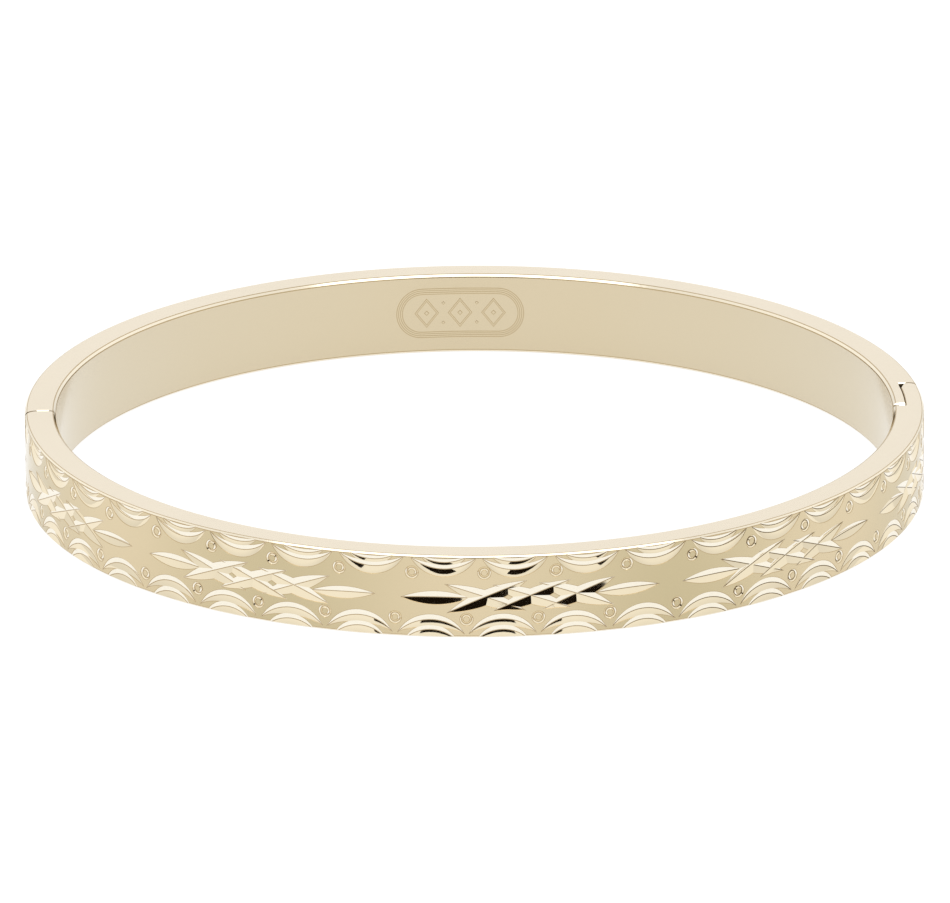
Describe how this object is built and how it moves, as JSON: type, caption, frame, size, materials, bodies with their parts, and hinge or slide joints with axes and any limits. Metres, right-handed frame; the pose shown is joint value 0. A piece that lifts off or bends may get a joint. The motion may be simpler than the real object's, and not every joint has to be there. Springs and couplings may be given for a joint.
{
  "type": "hinged bangle bracelet",
  "caption": "Round flat-band bangle bracelet in two halves, hinged on one side with a hidden snap catch on the other, engraved around the outside.",
  "frame": {"origin": "centre of the closed ring, in the plane of its lower edge, which is the plane it lies on", "axes": "+Z along the ring's axis, up through the band's height; +X towards the hinge; -Y towards the middle of the front half, -X towards the catch"},
  "size_m": [0.064, 0.064, 0.006],
  "materials": {
    "gold": "polished pale gold, fine satin on the flat edges",
    "spring_steel": "fine brushed",
    "pin_steel": "ground"
  },
  "bodies": {
    "back": {"back_half": "gold", "catch_pin": "pin_steel"},
    "front": {"front_half": "gold", "hinge_pin": "pin_steel", "catch_tongue": "spring_steel"},
    "leaf": {"spring_leaf": "spring_steel"}
  },
  "joints": [
    {"name": "hinge_swing", "type": "hinge", "parent": "back", "child": "front", "pos_m": [0.03106, 0.00435, 0.003], "axis": [0, 0, 1], "range_deg": [0, 65]},
    {"name": "leaf_press", "type": "hinge", "parent": "front", "child": "leaf", "pos_m": [-0.0312, 0.00281, 0.003], "axis": [0, 0, 1], "range_deg": [0, 7], "stiffness_Nm_per_rad": 0.05}
  ]
}
